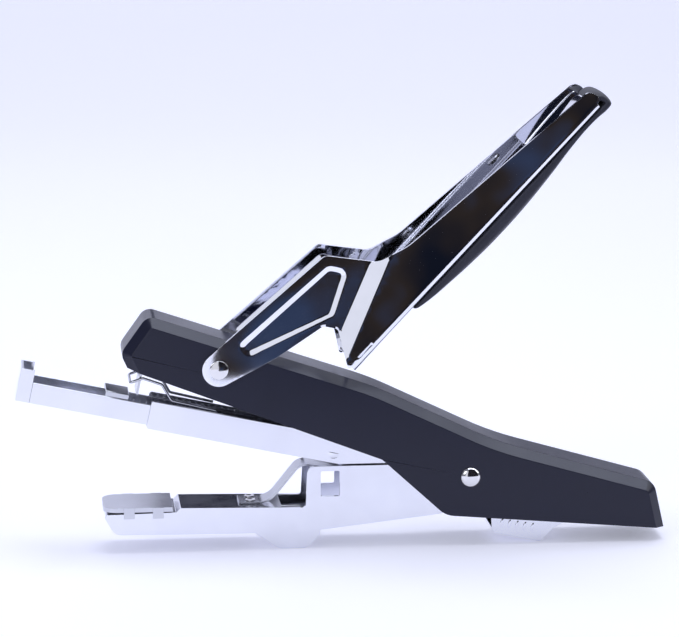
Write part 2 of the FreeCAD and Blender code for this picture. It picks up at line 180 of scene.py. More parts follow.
# Metals: each has a colour, a roughness band, polishing lines and a slight waviness.
metalLooks = {
    "leverChrome": {"colour": (0.86, 0.87, 0.93), "rough": (0.025, 0.06), "line": 0.015,
                    "lineScale": 500, "stretch": (0.15, 1, 3), "wave": 0.00003, "waveScale": 38},
    "nickelPlate": {"colour": (0.80, 0.81, 0.87), "rough": (0.10, 0.17), "line": 0.05,
                    "lineScale": 700, "stretch": (0.12, 1, 3), "wave": 0.00004, "waveScale": 60},
    "hardSteel": {"colour": (0.62, 0.63, 0.68), "rough": (0.16, 0.26), "line": 0.12,
                  "lineScale": 900, "stretch": (0.1, 1, 2), "wave": 0.00002, "waveScale": 90},
    "springSteel": {"colour": (0.56, 0.57, 0.62), "rough": (0.18, 0.28), "line": 0.1,
                    "lineScale": 900, "stretch": (0.2, 1, 1), "wave": 0.00002, "waveScale": 120},
    "zincSteel": {"colour": (0.60, 0.61, 0.64), "rough": (0.26, 0.4), "line": 0.05,
                  "lineScale": 400, "stretch": (1, 1, 1), "wave": 0.00004, "waveScale": 180},
    "polishedSteel": {"colour": (0.78, 0.77, 0.78), "rough": (0.05, 0.1), "line": 0.04,
                      "lineScale": 1200, "stretch": (1, 0.1, 1), "wave": 0.00001, "waveScale": 150},
}


def plainMetal(name):
    look = metalLooks[name]
    material, tree, shader = newMaterial(name)
    setShader(shader, {"Metallic": 1.0})
    line = noise(tree, objectPattern(tree, look["stretch"], (0, 0.2, 0)), look["lineScale"], 4, 0.6)
    stain = noise(tree, objectPattern(tree), 55, 4, 0.6)
    wave = noise(tree, objectPattern(tree), look["waveScale"], 1)
    dark = tuple(0.93 * part for part in look["colour"])
    tree.links.new(tint(tree, stain, [(0.3, dark), (0.6, look["colour"])]), shader.inputs["Base Color"])
    low, high = look["rough"]
    tree.links.new(spread(tree, stain, 0.3, 0.75, low, high), shader.inputs["Roughness"])
    waved = bump(tree, wave, look["wave"], 0.6)
    tree.links.new(bump(tree, line, 0.00002, look["line"], waved), shader.inputs["Normal"])
    return material


finishes = {name: plainMetal(name) for name in metalLooks}
finishes["blackEnamel"] = blackEnamel()
finishes["blackGrip"] = blackGrip()
slotFinish = {
    "black_enamel": "blackEnamel", "lever_chrome": "leverChrome", "nickel_plate": "nickelPlate",
    "hard_steel": "hardSteel", "spring_steel": "springSteel", "zinc_steel": "zincSteel",
    "polished_steel": "polishedSteel", "black_grip": "blackGrip",
}
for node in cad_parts.values():
    for materialSlot in node.material_slots:
        materialSlot.material = finishes[slotFinish[materialSlot.material.name]]
print("finishes made:", len(finishes))


# Mesh helpers, in millimetres until addPiece

def roundedOutline(corners, step=1.2):
    # Closed (x, z) outline with arcs of the given radii, its long sides divided evenly.
    arcStep = math.radians(9)
    outline = []
    for i, (x, z, radius) in enumerate(corners):
        here = Vector((x, z))
        back = (Vector(corners[i - 1][:2]) - here).normalized()
        ahead = (Vector(corners[(i + 1) % len(corners)][:2]) - here).normalized()
        half = back.angle(ahead) / 2
        if radius == 0:
            outline.append(here)
            continue
        reach = radius / math.tan(half)
        centre = here + (back + ahead).normalized() * (radius / math.sin(half))
        start = here + back * reach - centre
        turn = start.angle_signed(here + ahead * reach - centre)
        count = max(2, math.ceil(abs(turn) / arcStep), math.ceil(abs(turn) * radius / step))
        for k in range(count + 1):
            outline.append(centre + Matrix.Rotation(-turn * k / count, 2) @ start)
    divided = []
    for i, here in enumerate(outline):
        ahead = outline[(i + 1) % len(outline)]
        count = max(1, math.ceil((ahead - here).length / step))
        divided += [here.lerp(ahead, k / count) for k in range(count)]
    return divided


def addPiece(name, verts, faces, finish, body, covers=(), smooth=40):
    mesh = bpy.data.meshes.new(name)
    mesh.from_pydata([tuple(part * mm for part in vert) for vert in verts], [], faces)
    return dressPiece(name, mesh, finish, body, covers, smooth)


def dressPiece(name, mesh, finish, body, covers=(), smooth=40, modifiers=()):
    # Merges and turns the mesh right side out, finishes it and gives it to its body.
    work = bmesh.new()
    work.from_mesh(mesh)
    bmesh.ops.remove_doubles(work, verts=work.verts, dist=1e-7)
    bmesh.ops.recalc_face_normals(work, faces=work.faces)
    work.to_mesh(mesh)
    work.free()
    piece = bpy.data.objects.new(name, mesh)
    bpy.context.collection.objects.link(piece)
    mesh.materials.clear()
    mesh.materials.append(finishes[finish])
    for kind, values in modifiers:
        modifier = piece.modifiers.new(kind, kind)
        for setting, value in values.items():
            setattr(modifier, setting, value)
    if modifiers:
        applyModifiers(piece)
    for face in piece.data.polygons:
        face.use_smooth = True
    piece.data.set_sharp_from_angle(angle=math.radians(smooth))
    if modifiers:
        even = piece.modifiers.new("even", "WEIGHTED_NORMAL")
        even.mode = "FACE_AREA"
        even.weight = 90
        even.keep_sharp = True
        applyModifiers(piece)
    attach(piece, body)
    if covers:
        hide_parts(*covers)
    return piece


def applyModifiers(piece):
    graph = bpy.context.evaluated_depsgraph_get()
    final = bpy.data.meshes.new_from_object(piece.evaluated_get(graph))
    piece.modifiers.clear()
    piece.data = final


def softened(node, body, finish, width, segments=2, angle=32, smooth=40):
    # A merged copy of a design node with every sharp edge rounded over.
    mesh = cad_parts[node].data.copy()
    work = bmesh.new()
    work.from_mesh(mesh)
    bmesh.ops.remove_doubles(work, verts=work.verts, dist=2e-6)
    bmesh.ops.dissolve_limit(work, angle_limit=math.radians(0.6), verts=work.verts, edges=work.edges,
                             use_dissolve_boundaries=False)
    work.to_mesh(mesh)
    work.free()
    edge = {"width": width * mm, "segments": segments, "limit_method": "ANGLE",
            "angle_limit": math.radians(angle), "harden_normals": False, "use_clamp_overlap": True,
            "miter_outer": "MITER_ARC"}
    name = "".join(part.capitalize() if k else part for k, part in enumerate(node.split("_")))
    return dressPiece(name, mesh, finish, body, (node,), smooth, (("BEVEL", edge),))


# Pressed and folded sheet parts that keep their outline

softEdges = {
    "body_cover": ("body", "blackEnamel", 0.55, 4),
    "head_bracket": ("body", "zincSteel", 0.2, 2),
    "driver_blade": ("body", "hardSteel", 0.06, 2),
    "tail_bracket": ("body", "zincSteel", 0.25, 2),
    "latch_pin": ("body", "polishedSteel", 0.2, 2),
    "magazine_channel": ("magazine", "nickelPlate", 0.3, 3),
    "pivot_spacer": ("magazine", "zincSteel", 0.2, 2),
    "tray_stop": ("magazine", "zincSteel", 0.15, 2),
    "magazine_tray": ("tray", "nickelPlate", 0.25, 3),
    "staple_guide": ("tray", "nickelPlate", 0.25, 3),
    "staple_pusher": ("pusher", "hardSteel", 0.3, 3),
    "anvil_arm": ("arm", "nickelPlate", 0.4, 3),
    "anvil_plate": ("arm", "hardSteel", 0.25, 3),
    "arm_foot": ("arm", "nickelPlate", 0.4, 3),
    "release_latch": ("latch", "nickelPlate", 0.35, 3),
}

for node, (body, finish, width, segments) in softEdges.items():
    softened(node, body, finish, width, segments)
print("sheet parts softened:", len(softEdges))


# Lever shell: two walls and a web, pressed from one sheet

leverPlan = {
    "frontHalf": 12.9, "rearHalf": 14.1, "sheet": 1.2, "bend": 1.9, "edge": 0.45, "border": 1.1,
    "webFoot": (2.2, 60.2), "webTip": (85.9, 149.4),
    "joggleMiddle": (6.0, 85.5), "joggleLean": 23.0, "joggleHalf": 2.7, "blend": 0.35,
    "side": [(-82.2, 34.6, 5.5), (-6.8, 99.8, 3), (10.5, 97.4, 6), (20.5, 102.5, 20),
             (79.8, 152.9, 2.5)],
    "leg": [(-2.6, 75.3, 1.5), (-7.4, 76.3, 2), (-22.4, 66.3, 40)],
    "panel": [(-34.2, 69.6, 1.2), (-5.4, 94.9, 1.6), (-0.9, 93.9, 1.4), (-5.2, 80.6, 1.6),
              (-32.0, 68.2, 1.2)],
    "panelBand": 1.4, "panelDepth": 0.37,
    "relief": [(4.3, 65.6, 0.5), (8.6, 70.2, 0.5), (9.6, 69.2, 0.5), (5.3, 64.6, 0.5)],
    "grid": 3.0, "gridColumns": (-16, 32), "gridRows": (18, 52), "ringStep": 0.3,
    "joggleReach": 60, "joggleStep": 0.6, "joggleGap": 0.25, "joggleClear": 1.2,
    "outlineClear": 1.4, "ringClear": 0.8, "joggledWeb": 12,
}


def webPoint(s, depth):
    # A place s along the web from its foot and depth below its outer face.
    foot, tip = Vector(leverPlan["webFoot"]), Vector(leverPlan["webTip"])
    run = (tip - foot).normalized()
    return foot + run * s + Vector((run.y, -run.x)) * depth


webRun = Vector(leverPlan["webTip"]) - Vector(leverPlan["webFoot"])
webLength = webRun.length


def rampUp(value, low, high, blend):
    # 0 before low, 1 after high, straight between them with softened ends.
    total = 0.0
    for k in range(9):
        part = (value + blend * (k / 4 - 1) - low) / (high - low)
        total += min(1.0, max(0.0, part))
    return total / 9


def inside(place, outline):
    hit = False
    for i, here in enumerate(outline):
        last = outline[i - 1]
        if (here.y > place.y) != (last.y > place.y):
            if place.x < (last.x - here.x) * (place.y - here.y) / (last.y - here.y) + here.x:
                hit = not hit
    return hit


def distanceTo(place, outline):
    best = 1e9
    for i, here in enumerate(outline):
        step = here - outline[i - 1]
        along = min(1.0, max(0.0, (place - outline[i - 1]).dot(step) / max(step.length_squared, 1e-12)))
        best = min(best, (outline[i - 1] + step * along - place).length)
    return best


def swollen(outline, reach):
    # A closed outline moved outwards by reach, or inwards where it is negative.
    lasts = [outline[-1]] + outline[:-1]
    area = sum(last.x * here.y - here.x * last.y for last, here in zip(lasts, outline))
    side = math.copysign(reach, area * reach) if reach else 0.0
    moved = []
    for i, here in enumerate(outline):
        along = (outline[(i + 1) % len(outline)] - outline[i - 1]).normalized()
        moved.append(here + Vector((along.y, -along.x)) * side)
    return moved


def joggleDistance(place):
    lean = math.radians(leverPlan["joggleLean"])
    offset = place - Vector(leverPlan["joggleMiddle"])
    return offset.x * math.cos(lean) - offset.y * math.sin(lean)


def leverWall():
    # The near wall's outer face as (x, z) points, their distance from the middle, and triangles.
    plan = leverPlan
    webEnds = [(*webPoint(webLength, -plan["bend"]), 2.0), (*webPoint(0, -plan["bend"]), 0.8)]
    outline = roundedOutline(plan["side"] + webEnds + plan["leg"])
    core = roundedOutline(plan["panel"])
    band = plan["panelBand"]
    step = plan["ringStep"]
    rings = [swollen(core, reach) for reach in (-step, 0.0, step, band - step, band, band + step)]
    relief = roundedOutline(plan["relief"], 0.6)
    points, edges = [], []

    def addLoop(loop):
        start = len(points)
        points.extend(loop)
        edges.extend((start + i, start + (i + 1) % len(loop)) for i in range(len(loop)))

    for loop in [outline, swollen(outline, -plan["border"]), relief] + rings:
        addLoop(loop)
    lean = math.radians(plan["joggleLean"])
    across = Vector((math.cos(lean), -math.sin(lean)))
    up = Vector((math.sin(lean), math.cos(lean)))
    half, blend = plan["joggleHalf"], plan["blend"]
    rows = [side * (half + step) for side in (-1, 1) for step in (-blend, 0, blend)]
    for n in rows:
        last = None
        for k in range(-plan["joggleReach"], plan["joggleReach"] + 1):
            place = Vector(plan["joggleMiddle"]) + across * n + up * (k * plan["joggleStep"])
            gap = plan["border"] + plan["joggleGap"]
            if inside(place, outline) and distanceTo(place, outline) > gap:
                points.append(place)
                if last is not None:
                    edges.append((last, len(points) - 1))
                last = len(points) - 1
            else:
                last = None
    grid = plan["grid"]
    for i in range(*plan["gridColumns"]):
        for j in range(*plan["gridRows"]):
            place = Vector((i * grid, j * grid))
            clear = abs(abs(joggleDistance(place)) - half) > plan["joggleClear"]
            clear = clear and (inside(place, rings[0]) or not inside(place, rings[-1]))
            clear = clear and inside(place, outline)
            if clear and distanceTo(place, outline) > plan["outlineClear"]:
                near = min(distanceTo(place, ring) for ring in (rings[0], rings[-1], relief))
                if near > plan["ringClear"]:
                    points.append(place)
    flat, _, faces, *_ = delaunay_2d_cdt(points, edges, [], 1, 1e-5)
    triangles = [face for face in faces
                 if not inside((flat[face[0]] + flat[face[1]] + flat[face[2]]) / 3, relief)]
    reach = []
    for place in flat:
        joggle = rampUp(joggleDistance(place), -half, half, blend)
        y = plan["frontHalf"] + (plan["rearHalf"] - plan["frontHalf"]) * joggle
        gap = -distanceTo(place, core) if inside(place, core) else distanceTo(place, core)
        y -= plan["panelDepth"] * (1 - rampUp(gap, 0.0, band, plan["ringStep"]))
        reach.append(y)
    return flat, reach, triangles, outline


def leverShell():
    plan = leverPlan
    flat, reach, triangles, outline = leverWall()
    verts = [(place.x, -y, place.y) for place, y in zip(flat, reach)]
    verts += [(place.x, y, place.y) for place, y in zip(flat, reach)]
    count = len(flat)
    faces = [tuple(face) for face in triangles]
    faces += [tuple(count + k for k in reversed(face)) for face in triangles]
    run = webRun.normalized()
    start = webPoint(0, -plan["bend"])
    stations = []
    for place in outline:
        s = (place - start).dot(run)
        if abs((place - start).dot(Vector((run.y, -run.x)))) < 1e-4:
            stations.append(s)
    stations.sort()
    bend, half = plan["bend"], plan["rearHalf"]
    profile = []
    for k in range(9):
        turn = math.radians(90 * k / 8)
        profile.append((-half + bend - bend * math.cos(turn), -bend + bend * math.sin(turn)))
    flatRun = [(-half + bend) * (1 - k / 4) for k in range(1, 4)]
    profile += [(y, 0.0) for y in flatRun] + [(0.0, 0.0)] + [(-y, 0.0) for y in reversed(flatRun)]
    profile += [(-y, depth) for y, depth in reversed(profile[:9])]
    base = len(verts)
    for s in stations:
        for y, depth in profile:
            place = webPoint(s, depth)
            if s < plan["joggledWeb"] and abs(y) > half - bend - 1e-6:
                joggle = rampUp(joggleDistance(place), -plan["joggleHalf"], plan["joggleHalf"],
                                plan["blend"])
                y = math.copysign(abs(y) - (1 - joggle) * (plan["rearHalf"] - plan["frontHalf"]), y)
            verts.append((place.x, y, place.y))
    wide = len(profile)
    for i in range(len(stations) - 1):
        for k in range(wide - 1):
            low = base + i * wide + k
            faces.append((low, low + 1, low + wide + 1, low + wide))
    mesh = bpy.data.meshes.new("leverShell")
    mesh.from_pydata([tuple(part * mm for part in vert) for vert in verts], [], faces)
    work = bmesh.new()
    work.from_mesh(mesh)
    bmesh.ops.remove_doubles(work, verts=work.verts, dist=2e-5)
    bmesh.ops.recalc_face_normals(work, faces=work.faces)
    work.faces.ensure_lookup_table()
    near = [face for face in work.faces if face.calc_center_median().y < -0.012]
    if sum(face.normal.y * face.calc_area() for face in near) > 0:
        bmesh.ops.reverse_faces(work, faces=work.faces)
    work.to_mesh(mesh)
    work.free()
    thick = {"thickness": plan["sheet"] * mm, "offset": -1.0, "use_even_offset": True,
             "use_quality_normals": True}
    rim = {"width": plan["edge"] * mm, "segments": 4, "limit_method": "ANGLE",
           "angle_limit": math.radians(55), "use_clamp_overlap": True}
    return dressPiece("leverShell", mesh, "leverChrome", "lever", ("lever_shell",), 40,
                      (("SOLIDIFY", thick), ("BEVEL", rim)))


leverShell()
print("lever shell pressed")


# Grip: each station is (place and depth on the outside, place and depth on the inside, half width)

tipEnd = webLength
gripStations = [
    (29.6, 0.3, 29.7, 0.06, 12.8), (31.2, 1.8, 30.6, 0.06, 13.3), (36.0, 3.2, 36.0, 0.06, 13.4),
    (42.0, 4.1, 42.0, 0.06, 13.4), (52.0, 5.2, 52.0, 0.06, 13.4), (64.0, 5.9, 64.0, 0.06, 13.4),
    (78.0, 5.7, 78.0, 0.06, 13.4), (92.0, 4.5, 92.0, 0.06, 13.4), (102.0, 3.1, 102.0, 0.06, 13.4),
    (110.0, 2.3, 110.0, 0.06, 13.4), (116.0, 2.4, 116.0, 0.06, 13.4), (120.0, 3.0, 119.0, 0.06, 13.4),
    (tipEnd + 0.6, 2.9, tipEnd - 1.0, 0.06, 13.4), (tipEnd + 1.6, 1.7, tipEnd - 0.6, -0.2, 13.3),
    (tipEnd + 1.8, -0.9, tipEnd - 0.7, -0.7, 13.0), (tipEnd + 1.1, -3.2, tipEnd - 0.9, -1.1, 12.7),
    (tipEnd - 0.6, -4.4, tipEnd - 1.3, -1.3, 12.5), (tipEnd - 2.4, -4.7, tipEnd - 3.0, -1.3, 12.5),
    (tipEnd - 3.4, -4.4, tipEnd - 3.6, -1.35, 12.4),
]

# Bright clip that holds the moulding's end inside the channel, with the same kind of stations
clipStations = [
    (tipEnd - 3.5, -4.2, tipEnd - 3.5, -1.3, 12.3), (tipEnd - 4.2, -5.3, tipEnd - 4.2, -1.3, 12.5),
    (tipEnd - 10.0, -5.5, tipEnd - 10.0, -1.3, 12.5), (104.0, -5.3, 104.0, -1.3, 12.5),
    (95.4, -4.8, 95.2, -1.3, 12.5), (94.6, -4.2, 94.6, -1.35, 12.4),
]


def smoothStations(stations, parts):
    # Values between the stations on a smooth curve through them.
    result = []
    for i in range(len(stations) - 1):
        last = min(len(stations) - 1, i + 2)
        rows = [stations[max(0, i - 1)], stations[i], stations[i + 1], stations[last]]
        for k in range(parts):
            t = k / parts
            weights = (-0.5 * t + t * t - 0.5 * t ** 3, 1 - 2.5 * t * t + 1.5 * t ** 3,
                       0.5 * t + 2 * t * t - 1.5 * t ** 3, -0.5 * t * t + 0.5 * t ** 3)
            result.append(tuple(sum(w * value for w, value in zip(weights, column))
                                for column in zip(*rows)))
    return result + [stations[-1]]


def powered(value, exponent):
    return math.copysign(abs(value) ** exponent, value)


def ringFaces(rings, around):
    faces = []
    for i in range(rings - 1):
        for k in range(around):
            ahead = (k + 1) % around
            faces.append((i * around + k, i * around + ahead,
                          (i + 1) * around + ahead, (i + 1) * around + k))
    return faces


loftPlan = {"around": 48, "between": 5, "underside": (0.16, 0.3)}


def lofted(name, stations, crown, finish, covers):
    # Rings between each station's inner and outer place; crown holds the roundness of the outer half.
    around = loftPlan["around"]
    rows = smoothStations(stations, loftPlan["between"])
    verts = []
    for outS, outDepth, inS, inDepth, half in rows:
        outer, inner = webPoint(outS, outDepth), webPoint(inS, inDepth)
        for k in range(around):
            turn = 2 * math.pi * (k + 0.5) / around
            wide, high = crown if math.sin(turn) > 0 else loftPlan["underside"]
            lift = 0.5 + 0.5 * powered(math.sin(turn), high)
            place = inner.lerp(outer, lift)
            verts.append((place.x, half * powered(math.cos(turn), wide), place.y))
    faces = ringFaces(len(rows), around)
    faces.append(tuple(range(around)))
    faces.append(tuple(range((len(rows) - 1) * around, len(rows) * around)))
    return addPiece(name, verts, faces, finish, "lever", covers, 50)


lofted("leverGrip", gripStations, (0.9, 1.0), "blackGrip", ("lever_grip",))
lofted("gripClip", clipStations, (0.12, 0.25), "leverChrome", ())
print("grip moulded")


# Turned and riveted parts

def turned(name, profile, centre, finish, body, covers, around=64):
    # Closed profile of (radius, y) spun about the Y axis through centre, poles at both ends.
    verts = []
    for radius, y in profile[1:-1]:
        for k in range(around):
            turn = 2 * math.pi * k / around
            verts.append((centre[0] + radius * math.cos(turn), y, centre[1] + radius * math.sin(turn)))
    rings = len(profile) - 2
    faces = ringFaces(rings, around)
    for pole, ring in ((profile[0], 0), (profile[-1], rings - 1)):
        verts.append((centre[0], pole[1], centre[1]))
        start, crown = ring * around, len(verts) - 1
        faces += [(crown, start + k, start + (k + 1) % around) for k in range(around)]
    return addPiece(name, verts, faces, finish, body, covers, 50)


def domeEnd(face, radius, height, steps=14):
    # Points from the crown of a dome down to its rim at y = face.
    return [(radius * math.sin(math.radians(90 * k / steps)),
             face + height * math.cos(math.radians(90 * k / steps))) for k in range(steps + 1)]


def doubleEnded(end, shank):
    # The profile of a rod with the same end on both sides.
    half = end + [(shank, end[-1][1])]
    return [(radius, -y) for radius, y in half] + [(radius, y) for radius, y in reversed(half)]


rivetPlan = {"face": 11.32, "radius": 3.4, "dome": 1.6, "shank": 2.5}
pinPlan = {"face": 12.86, "radius": 3.1, "dome": 0.42, "shank": 2.45}
for name, plan, centre, node in (("rearPivotRivet", rivetPlan, rearPivot, "rear_pivot_rivet"),
                                 ("leverPivotPin", pinPlan, leverPivot, "lever_pivot_pin")):
    end = domeEnd(plan["face"], plan["radius"], plan["dome"])
    turned(name, doubleEnded(end, plan["shank"]), centre, "polishedSteel", "body", (node,))
print("pivots turned")


# Geometry Nodes: coils, bent wire, rivet heads and ribs

def startTree(name, sockets, needsShape=False):
    tree = bpy.data.node_groups.new(name, "GeometryNodeTree")
    tree.interface.new_socket("Shape", in_out="OUTPUT", socket_type="NodeSocketGeometry")
    if needsShape:
        tree.interface.new_socket("Shape", in_out="INPUT", socket_type="NodeSocketGeometry")
    for label, kind in sockets:
        tree.interface.new_socket(label, in_out="INPUT", socket_type=f"NodeSocket{kind}")
    return tree, tree.nodes.new("NodeGroupInput"), tree.nodes.new("NodeGroupOutput")


def put(tree, kind, sources=(), **settings):
    # A node with its inputs linked to sockets or set to plain values.
    node = tree.nodes.new(kind)
    for setting, value in settings.items():
        setattr(node, setting, value)
    for socket, source in dict(sources).items():
        if isinstance(source, bpy.types.NodeSocket):
            tree.links.new(source, node.inputs[socket])
        else:
            node.inputs[socket].default_value = source
    return node


def endTree(tree, given, out, shape):
    smooth = put(tree, "GeometryNodeSetShadeSmooth", {"Geometry": shape})
    real = put(tree, "GeometryNodeRealizeInstances", {"Geometry": smooth.outputs[0]})
    finish = put(tree, "GeometryNodeSetMaterial", {"Geometry": real.outputs[0],
                                                   "Material": given.outputs["Finish"]})
    tree.links.new(finish.outputs[0], out.inputs[0])
    return tree


def swept(tree, given, path, sides):
    # A round wire along a curve, with closed ends.
    wire = put(tree, "GeometryNodeCurvePrimitiveCircle", {"Resolution": sides,
                                                          "Radius": given.outputs["Wire"]})
    return put(tree, "GeometryNodeCurveToMesh", {"Curve": path, "Profile Curve": wire.outputs[0],
                                                 "Fill Caps": True}).outputs[0]


def coilTree():
    sockets = [("Turns", "Float"), ("Radius", "Float"), ("Length", "Float"), ("Wire", "Float"),
               ("Place", "Vector"), ("Turn", "Rotation"), ("Finish", "Material")]
    tree, given, out = startTree("coilSpring", sockets)
    spiral = put(tree, "GeometryNodeCurveSpiral", {
        "Resolution": 22, "Rotations": given.outputs["Turns"], "Start Radius": given.outputs["Radius"],
        "End Radius": given.outputs["Radius"], "Height": given.outputs["Length"]})
    laid = put(tree, "GeometryNodeTransform", {"Geometry": spiral.outputs[0],
               "Translation": given.outputs["Place"], "Rotation": given.outputs["Turn"]})
    return endTree(tree, given, out, swept(tree, given, laid.outputs[0], 10))


def wireTree():
    sockets = [("Bend", "Float"), ("Wire", "Float"), ("Finish", "Material")]
    tree, given, out = startTree("bentWire", sockets, True)
    path = put(tree, "GeometryNodeMeshToCurve", {"Mesh": given.outputs["Shape"]})
    bent = put(tree, "GeometryNodeFilletCurve", {"Curve": path.outputs[0], "Count": 8,
                                                 "Radius": given.outputs["Bend"]}, mode="POLY")
    return endTree(tree, given, out, swept(tree, given, bent.outputs[0], 14))


def rivetTree():
    # On every point: a shank, a collar and a low dome, standing along the given turn.
    sockets = [("Head", "Float"), ("Cap", "Float"), ("Shank", "Float"), ("Depth", "Float"),
               ("Turn", "Rotation"), ("Finish", "Material")]
    tree, given, out = startTree("rivetHeads", sockets, True)

    def half(value):
        return put(tree, "ShaderNodeMath", {0: value, 1: 0.5}, operation="MULTIPLY").outputs[0]

    collar = put(tree, "GeometryNodeMeshCylinder", {"Vertices": 32, "Radius": given.outputs["Head"],
                                                    "Depth": half(given.outputs["Cap"])})
    liftCollar = put(tree, "ShaderNodeCombineXYZ", {"Z": half(half(given.outputs["Cap"]))})
    low = put(tree, "GeometryNodeTransform", {"Geometry": collar.outputs[0],
                                              "Translation": liftCollar.outputs[0]})
    ball = put(tree, "GeometryNodeMeshUVSphere", {"Segments": 32, "Rings": 16, "Radius": 1.0})
    squashed = put(tree, "ShaderNodeCombineXYZ", {"X": given.outputs["Head"], "Y": given.outputs["Head"],
                                                  "Z": half(given.outputs["Cap"])})
    liftDome = put(tree, "ShaderNodeCombineXYZ", {"Z": half(given.outputs["Cap"])})
    dome = put(tree, "GeometryNodeTransform", {"Geometry": ball.outputs[0], "Scale": squashed.outputs[0],
                                               "Translation": liftDome.outputs[0]})
    rod = put(tree, "GeometryNodeMeshCylinder", {"Vertices": 24, "Radius": given.outputs["Shank"],
                                                 "Depth": given.outputs["Depth"]})
    sink = put(tree, "ShaderNodeMath", {0: given.outputs["Depth"], 1: -0.5}, operation="MULTIPLY")
    lowRod = put(tree, "ShaderNodeCombineXYZ", {"Z": sink.outputs[0]})
    shank = put(tree, "GeometryNodeTransform", {"Geometry": rod.outputs[0],
                                                "Translation": lowRod.outputs[0]})
    join = tree.nodes.new("GeometryNodeJoinGeometry")
    for part in (low, dome, shank):
        tree.links.new(part.outputs[0], join.inputs[0])
    places = put(tree, "GeometryNodeInstanceOnPoints", {"Points": given.outputs["Shape"],
                 "Instance": join.outputs[0], "Rotation": given.outputs["Turn"]})
    return endTree(tree, given, out, places.outputs[0])


def ribTree():
    sockets = [("Count", "Int"), ("Start", "Vector"), ("Step", "Vector"), ("Size", "Vector"),
               ("Turn", "Rotation"), ("Finish", "Material")]
    tree, given, out = startTree("pressedRibs", sockets)
    line = put(tree, "GeometryNodeMeshLine", {"Count": given.outputs["Count"],
               "Start Location": given.outputs["Start"], "Offset": given.outputs["Step"]})
    ball = put(tree, "GeometryNodeMeshUVSphere", {"Segments": 24, "Rings": 12, "Radius": 1.0})
    rib = put(tree, "GeometryNodeTransform", {"Geometry": ball.outputs[0],
                                              "Scale": given.outputs["Size"]})
    places = put(tree, "GeometryNodeInstanceOnPoints", {"Points": line.outputs[0],
                 "Instance": rib.outputs[0], "Rotation": given.outputs["Turn"]})
    return endTree(tree, given, out, places.outputs[0])


def grown(name, tree, values, finish, body, covers=(), places=(), edges=()):
    # Runs a tree on the given points and turns the result into one plain piece.
    base = bpy.data.meshes.new(name + "Base")
    base.from_pydata([tuple(part * mm for part in place) for place in places], list(edges), [])
    maker = bpy.data.objects.new(name + "Base", base)
    bpy.context.collection.objects.link(maker)
    modifier = maker.modifiers.new("nodes", "NODES")
    modifier.node_group = tree
    inputs = {item.name: item.identifier for item in tree.interface.items_tree
              if item.in_out == "INPUT" and item.socket_type != "NodeSocketGeometry"}
    for label, value in values.items():
        modifier[inputs[label]] = value
    modifier[inputs["Finish"]] = finishes[finish]
    graph = bpy.context.evaluated_depsgraph_get()
    mesh = bpy.data.meshes.new_from_object(maker.evaluated_get(graph))
    maker.modifiers.clear()
    bpy.data.objects.remove(maker)
    mesh.name = name
    return dressPiece(name, mesh, finish, body, covers, 40)


def onMagazine(u, y, h):
    # A place u forwards of the rear pivot and h above the magazine's axis.
    x, z = -u, h
    lean = magazineTilt
    return (rearPivot[0] + x * math.cos(lean) + z * math.sin(lean), y,
            rearPivot[1] - x * math.sin(lean) + z * math.cos(lean))


coils, wires, rivets, ribs = coilTree(), wireTree(), rivetTree(), ribTree()

pusherSpring = {"Turns": 27.0, "Radius": 2.15 * mm, "Length": 60.0 * mm, "Wire": 0.33 * mm,
                "Place": tuple(part * mm for part in onMagazine(63.7, 0, 0.2)),
                "Turn": (0, math.radians(-90) + magazineTilt, 0)}
latchSpring = {"Turns": 6.5, "Radius": 2.0 * mm, "Length": 14.4 * mm, "Wire": 0.36 * mm,
               "Place": (62.5 * mm, 0, 3.9 * mm), "Turn": (0, 0, 0)}
grown("pusherSpring", coils, pusherSpring, "springSteel", "tray", ("pusher_spring",))
grown("latchSpring", coils, latchSpring, "springSteel", "body", ("latch_spring",))

bailSide = [(117.6, 9.4), (113.8, 11.6), (107.2, 10.7), (103.0, 6.0), (88.0, 5.5)]
bailHalf = 7
bailRoute = [onMagazine(u, -bailHalf, h) for u, h in reversed(bailSide)]
bailRoute += [onMagazine(u, bailHalf, h) for u, h in bailSide]
bail = grown("magazineBail", wires, {"Bend": 1.3 * mm, "Wire": 0.45 * mm}, "springSteel", "magazine",
             ("magazine_bail",), bailRoute, [(k, k + 1) for k in range(len(bailRoute) - 1)])
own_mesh(bail)

alongMagazine = (0, math.radians(-90) + magazineTilt, 0)
acrossWeb = (0, -math.atan2(webRun.y, webRun.x), 0)
gripHeads = [webPoint(s, -1.2) for s in (44.0, 84.0)]
rivetPlans = {
    "bladeRivets": {"head": 1.9, "cap": 0.6, "shank": 0.97, "depth": 0.7, "turn": alongMagazine,
                    "finish": "zincSteel", "body": "body", "node": "blade_rivets",
                    "places": [onMagazine(114.95, y, 24.0) for y in (-3.2, 3.2)]},
    "leafSpringRivets": {"head": 1.7, "cap": 0.5, "shank": 0.97, "depth": 0.8, "turn": (0, 0, 0),
                         "finish": "polishedSteel", "body": "arm", "node": "leaf_spring_rivets",
                         "places": [(-31.0, y, 15.7) for y in (-2.8, 2.8)]},
    "gripRivets": {"head": 2.6, "cap": 0.9, "shank": 1.44, "depth": 1.2, "turn": acrossWeb,
                   "finish": "polishedSteel", "body": "lever", "node": "grip_rivets",
                   "places": [(head.x, 0, head.y) for head in gripHeads]},
}
for name, plan in rivetPlans.items():
    sizes = {label.capitalize(): plan[label] * mm for label in ("head", "cap", "shank", "depth")}
    grown(name, rivets, {**sizes, "Turn": plan["turn"]}, plan["finish"], plan["body"],
          (plan["node"],), plan["places"])
ribPlan = {"Count": 5, "Start": (53.4 * mm, -8.0 * mm, 6.9 * mm), "Step": (2.6 * mm, 0, -0.45 * mm),
           "Size": (0.55 * mm, 0.22 * mm, 1.5 * mm), "Turn": (0, math.radians(14), 0)}
grown("latchRibs", ribs, ribPlan, "nickelPlate", "latch")
